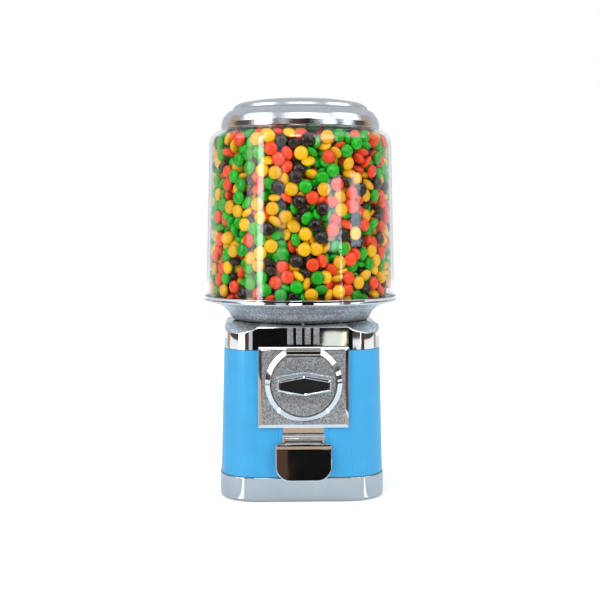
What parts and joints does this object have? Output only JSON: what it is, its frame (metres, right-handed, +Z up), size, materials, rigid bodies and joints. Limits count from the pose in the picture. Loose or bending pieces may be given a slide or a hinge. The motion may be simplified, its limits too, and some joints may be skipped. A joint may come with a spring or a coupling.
{
  "type": "gumball machine",
  "caption": "Bench-top candy vending machine: clear candy globe on a cast bowl, square painted body, twist-knob coin mechanism and a swinging chute door.",
  "frame": {"origin": "centre of the footprint, on the surface that the machine stands on", "axes": "+Z up, -Y towards the front with the coin mechanism, +X to the right seen from the front"},
  "size_m": [0.1912, 0.1946, 0.3834],
  "materials": {
    "chrome": "polished",
    "cast_metal": "cast, fine grain",
    "blue_paint": "satin",
    "clear_plastic": "clear, polished",
    "candy": "gloss",
    "rubber": "matt",
    "steel": "zinc plated",
    "brass": "turned",
    "white_plastic": "satin",
    "black_plastic": "satin"
  },
  "bodies": {
    "housing": {"base": "chrome", "rubber_feet": "rubber", "coin_tray": "black_plastic", "base_screws": "steel", "body_shell": "blue_paint", "cap": "chrome", "cap_screws": "steel", "hopper_bowl": "cast_metal", "bowl_screws": "steel", "globe_ring": "chrome", "globe_gasket": "rubber", "globe": "clear_plastic", "candy_load": "candy", "centre_rod": "steel", "lower_rod_nut": "steel", "upper_rod_nut": "steel", "rod_washers": "steel", "hopper_plate": "cast_metal", "hopper_screws": "steel", "portion_cover": "steel", "portion_brush": "black_plastic", "faceplate": "cast_metal", "mech_housing": "cast_metal", "mech_backplate": "steel", "mech_screws": "steel", "spindle_bush": "brass", "pawl_pin": "steel", "candy_chute": "white_plastic", "chute_hood": "chrome", "door_pin": "steel", "coin_chute": "steel"},
    "coin_drive": {"knob": "cast_metal", "spindle": "steel", "coin_wheel": "cast_metal", "ratchet_wheel": "steel", "drive_pinion": "white_plastic", "spindle_nut": "steel"},
    "dispenser": {"candy_wheel": "white_plastic"},
    "pawl_lever": {"pawl": "steel", "pawl_spring": "steel"},
    "door": {"chute_door": "chrome"},
    "cover": {"lid": "chrome"},
    "lock": {"lock_barrel": "steel"}
  },
  "joints": [
    {"name": "knob_turn", "type": "hinge", "parent": "housing", "child": "coin_drive", "pos_m": [0, -0.08, 0.113], "axis": [0, 1, 0], "continuous": true},
    {"name": "wheel_turn", "type": "hinge", "parent": "housing", "child": "dispenser", "pos_m": [0, 0, 0.13], "axis": [0, 0, 1], "continuous": true},
    {"name": "pawl_lift", "type": "hinge", "parent": "housing", "child": "pawl_lever", "pos_m": [-0.024, -0.0605, 0.128], "axis": [0, -1, 0], "range_deg": [0, 7], "stiffness_Nm_per_rad": 0.02, "springref_deg": -11.46},
    {"name": "door_swing", "type": "hinge", "parent": "housing", "child": "door", "pos_m": [0, -0.081, 0.054], "axis": [-1, 0, 0], "range_deg": [0, 70]},
    {"name": "lid_lift", "type": "slide", "parent": "housing", "child": "cover", "axis": [0, 0, 1], "range_m": [0, 0.12]},
    {"name": "lock_turn", "type": "hinge", "parent": "cover", "child": "lock", "pos_m": [0, 0, 0.372], "axis": [0, 0, 1], "range_deg": [0, 90]}
  ],
  "couplings": [
    {"joint": "wheel_turn", "follows": "knob_turn", "ratio": 0.33333}
  ]
}
